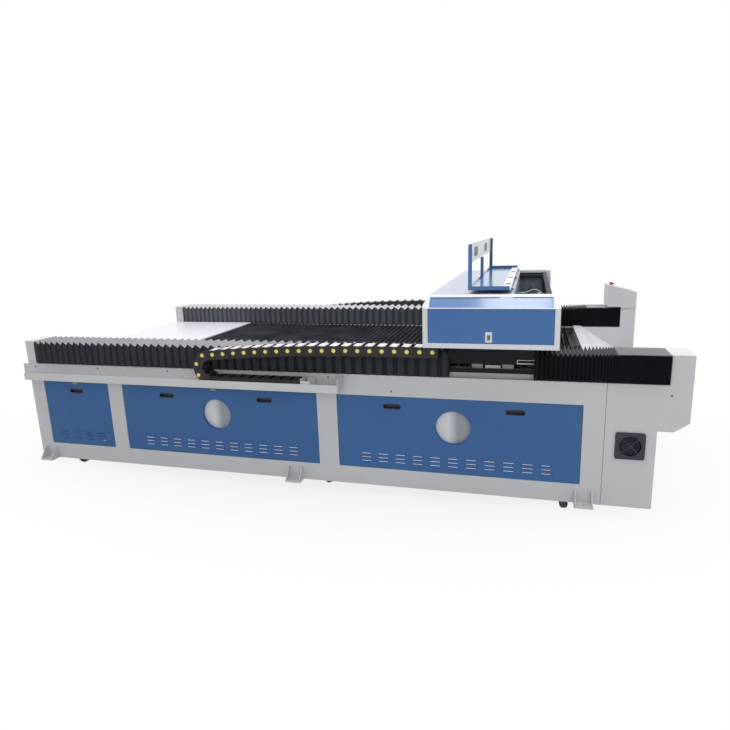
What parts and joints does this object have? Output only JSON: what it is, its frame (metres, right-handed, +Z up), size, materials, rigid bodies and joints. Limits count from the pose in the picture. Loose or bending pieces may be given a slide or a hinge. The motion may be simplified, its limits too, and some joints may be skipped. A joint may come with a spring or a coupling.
{
  "type": "carbon dioxide laser cutting machine",
  "caption": "Long flatbed laser cutter: slatted bed between bellows-covered side rails, travelling gantry with laser tube and head, blue side panels, on casters.",
  "frame": {"origin": "on the floor under the middle of the whole machine", "axes": "+X along the body towards the cabinets, +Y from the near long side to the far one, +Z up"},
  "size_m": [4.205, 2.314, 1.484],
  "materials": {
    "grey_paint": "fine powder coat, satin",
    "blue_paint": "powder coat, satin",
    "white_paint": "powder coat, semi-gloss",
    "gantry_blue": "smooth semi-gloss paint",
    "black_bellows": "coated cloth, slight sheen",
    "black_plastic": "moulded, matte",
    "chain_plastic": "glass-filled nylon",
    "steel": "ground steel",
    "slat_steel": "dark, smoked steel",
    "black_paint": "satin black paint",
    "aluminium": "extruded, natural",
    "rubber_belt": "moulded toothed belt",
    "red_plastic": "gloss",
    "yellow_plastic": "matte",
    "tube_glass": "clear borosilicate",
    "wheel_tread": "moulded tread"
  },
  "bodies": {
    "base": {"base_frame": "grey_paint", "rail_pads": "black_paint", "near_panels": "blue_paint", "far_panels": "blue_paint", "port_caps": "steel", "panel_handles": "black_plastic", "near_cabinet": "grey_paint", "fan_grille": "black_plastic", "power_supply": "steel", "far_cabinet": "grey_paint", "control_panel": "black_plastic", "estop_collar": "yellow_plastic", "near_bellows_left": "black_bellows", "near_bellows_right": "black_bellows", "far_bellows_left": "black_bellows", "far_bellows_right": "black_bellows", "guide_rails": "steel", "drive_belts": "rubber_belt", "drive_motors": "black_paint", "chain_trays": "grey_paint", "chain_brackets": "steel", "chain_lower_runs": "chain_plastic", "table_plate": "white_paint", "bed_slats": "slat_steel", "slat_combs": "slat_steel", "chute": "white_paint", "hopper": "steel", "caster_plates": "steel"},
    "gantry": {"gantry_beam": "aluminium", "carriages": "black_paint", "bearing_blocks": "steel", "gantry_housing": "white_paint", "near_end_cap": "gantry_blue", "end_socket": "white_paint", "far_end_cover": "white_paint", "laser_tube": "tube_glass", "tube_supports": "black_plastic", "mirror_mounts": "aluminium", "cross_rail": "steel", "chain_upper_runs": "chain_plastic"},
    "chain_bend": {"chain_bends": "chain_plastic"},
    "head": {"head_carriage": "black_paint"},
    "lens": {"lens_tube": "steel"},
    "cover": {"tube_cover": "gantry_blue"},
    "estop": {"estop_button": "red_plastic"},
    "fan": {"fan_rotor": "black_plastic"},
    "drive_shafts": {"drive_pulleys": "steel"},
    "idlers": {"idler_pulleys": "steel"},
    "fork_1": {"caster_fork_1": "steel"},
    "wheel_1": {"caster_wheel_1": "wheel_tread"},
    "fork_2": {"caster_fork_2": "steel"},
    "wheel_2": {"caster_wheel_2": "wheel_tread"},
    "fork_3": {"caster_fork_3": "steel"},
    "wheel_3": {"caster_wheel_3": "wheel_tread"},
    "fork_4": {"caster_fork_4": "steel"},
    "wheel_4": {"caster_wheel_4": "wheel_tread"},
    "fork_5": {"caster_fork_5": "steel"},
    "wheel_5": {"caster_wheel_5": "wheel_tread"},
    "fork_6": {"caster_fork_6": "steel"},
    "wheel_6": {"caster_wheel_6": "wheel_tread"}
  },
  "joints": [
    {"name": "gantry_travel", "type": "slide", "parent": "base", "child": "gantry", "axis": [1, 0, 0], "range_m": [-2.205, 0], "deforming": ["near_bellows_left", "far_bellows_left", "near_bellows_right", "far_bellows_right", "chain_lower_runs", "chain_upper_runs"]},
    {"name": "chain_bend_travel", "type": "slide", "parent": "base", "child": "chain_bend", "axis": [1, 0, 0], "range_m": [-1.103, 0]},
    {"name": "head_travel", "type": "slide", "parent": "gantry", "child": "head", "axis": [0, 1, 0], "range_m": [-0.16, 1.13]},
    {"name": "lens_focus", "type": "slide", "parent": "head", "child": "lens", "axis": [0, 0, 1], "range_m": [0, 0.05]},
    {"name": "tube_cover_hinge", "type": "hinge", "parent": "gantry", "child": "cover", "pos_m": [1.2085, 0, 1.242], "axis": [0, 1, 0], "range_deg": [0, 180]},
    {"name": "estop_press", "type": "slide", "parent": "base", "child": "estop", "axis": [-0.2588, 0, -0.9659], "range_m": [0, 0.006], "stiffness_N_per_m": 600, "springref_m": -0.004},
    {"name": "fan_spin", "type": "hinge", "parent": "base", "child": "fan", "pos_m": [1.8275, -0.972, 0.414], "axis": [0, 1, 0], "continuous": true},
    {"name": "drive_spin", "type": "hinge", "parent": "base", "child": "drive_shafts", "pos_m": [2.0485, 0, 0.849], "axis": [0, 1, 0], "range_deg": [-6100, 10]},
    {"name": "idler_spin", "type": "hinge", "parent": "base", "child": "idlers", "pos_m": [-2.023, 0, 0.849], "axis": [0, 1, 0], "range_deg": [-6100, 10]},
    {"name": "caster_1_swivel", "type": "hinge", "parent": "base", "child": "fork_1", "pos_m": [-1.7615, -0.896, 0.12], "axis": [0, 0, 1], "continuous": true},
    {"name": "caster_1_roll", "type": "hinge", "parent": "fork_1", "child": "wheel_1", "pos_m": [-1.7965, -0.896, 0.05], "axis": [0, -1, 0], "continuous": true},
    {"name": "caster_2_swivel", "type": "hinge", "parent": "base", "child": "fork_2", "pos_m": [0.1095, -0.896, 0.12], "axis": [0, 0, 1], "continuous": true},
    {"name": "caster_2_roll", "type": "hinge", "parent": "fork_2", "child": "wheel_2", "pos_m": [0.08269, -0.8735, 0.05], "axis": [-0.6428, -0.766, 0], "continuous": true},
    {"name": "caster_3_swivel", "type": "hinge", "parent": "base", "child": "fork_3", "pos_m": [1.5045, -0.896, 0.12], "axis": [0, 0, 1], "continuous": true},
    {"name": "caster_3_roll", "type": "hinge", "parent": "fork_3", "child": "wheel_3", "pos_m": [1.51058, -0.93047, 0.05], "axis": [0.9848, 0.1736, 0], "continuous": true},
    {"name": "caster_4_swivel", "type": "hinge", "parent": "base", "child": "fork_4", "pos_m": [-1.7615, 0.896, 0.12], "axis": [0, 0, 1], "continuous": true},
    {"name": "caster_4_roll", "type": "hinge", "parent": "fork_4", "child": "wheel_4", "pos_m": [-1.7265, 0.896, 0.05], "axis": [0, 1, 0], "continuous": true},
    {"name": "caster_5_swivel", "type": "hinge", "parent": "base", "child": "fork_5", "pos_m": [0.1095, 0.896, 0.12], "axis": [0, 0, 1], "continuous": true},
    {"name": "caster_5_roll", "type": "hinge", "parent": "fork_5", "child": "wheel_5", "pos_m": [0.127, 0.92631, 0.05], "axis": [-0.866, 0.5, 0], "continuous": true},
    {"name": "caster_6_swivel", "type": "hinge", "parent": "base", "child": "fork_6", "pos_m": [1.5045, 0.896, 0.12], "axis": [0, 0, 1], "continuous": true},
    {"name": "caster_6_roll", "type": "hinge", "parent": "fork_6", "child": "wheel_6", "pos_m": [1.487, 0.92631, 0.05], "axis": [-0.866, -0.5, 0], "continuous": true}
  ],
  "couplings": [
    {"joint": "chain_bend_travel", "follows": "gantry_travel", "ratio": 0.5},
    {"joint": "drive_spin", "follows": "gantry_travel", "rad_per_m": 48.077},
    {"joint": "idler_spin", "follows": "gantry_travel", "rad_per_m": 48.077}
  ]
}
